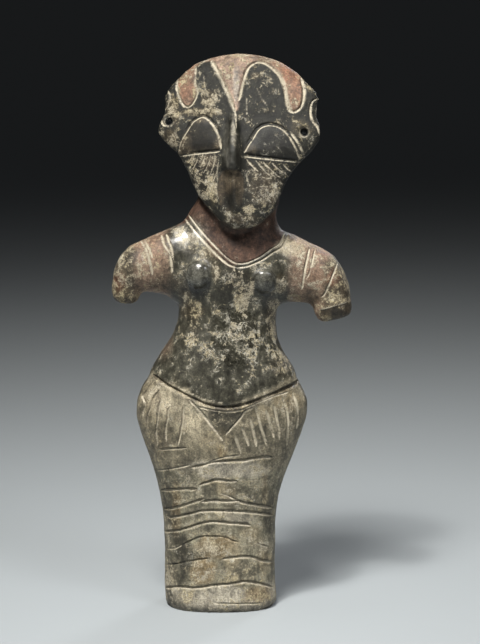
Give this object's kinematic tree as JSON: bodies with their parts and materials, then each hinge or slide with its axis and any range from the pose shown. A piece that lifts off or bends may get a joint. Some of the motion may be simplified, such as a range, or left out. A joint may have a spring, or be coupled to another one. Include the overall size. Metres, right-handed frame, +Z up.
{
  "type": "neolithic idol",
  "caption": "Small standing fired clay idol with a tilted mask face, pierced ears, stub arms, waisted torso, wide hips and a solid leg block with incised dress lines.",
  "frame": {"origin": "centre of the flat underside", "axes": "+Z up along the figure's height, -Y the way the figure faces, +X to the right of someone who looks at its face"},
  "size_m": [0.0694, 0.036, 0.1611],
  "materials": {
    "clay": "burnished in places, worn, with pale earth in the drawn lines"
  },
  "bodies": {
    "root": {"idol": "clay"}
  },
  "joints": []
}
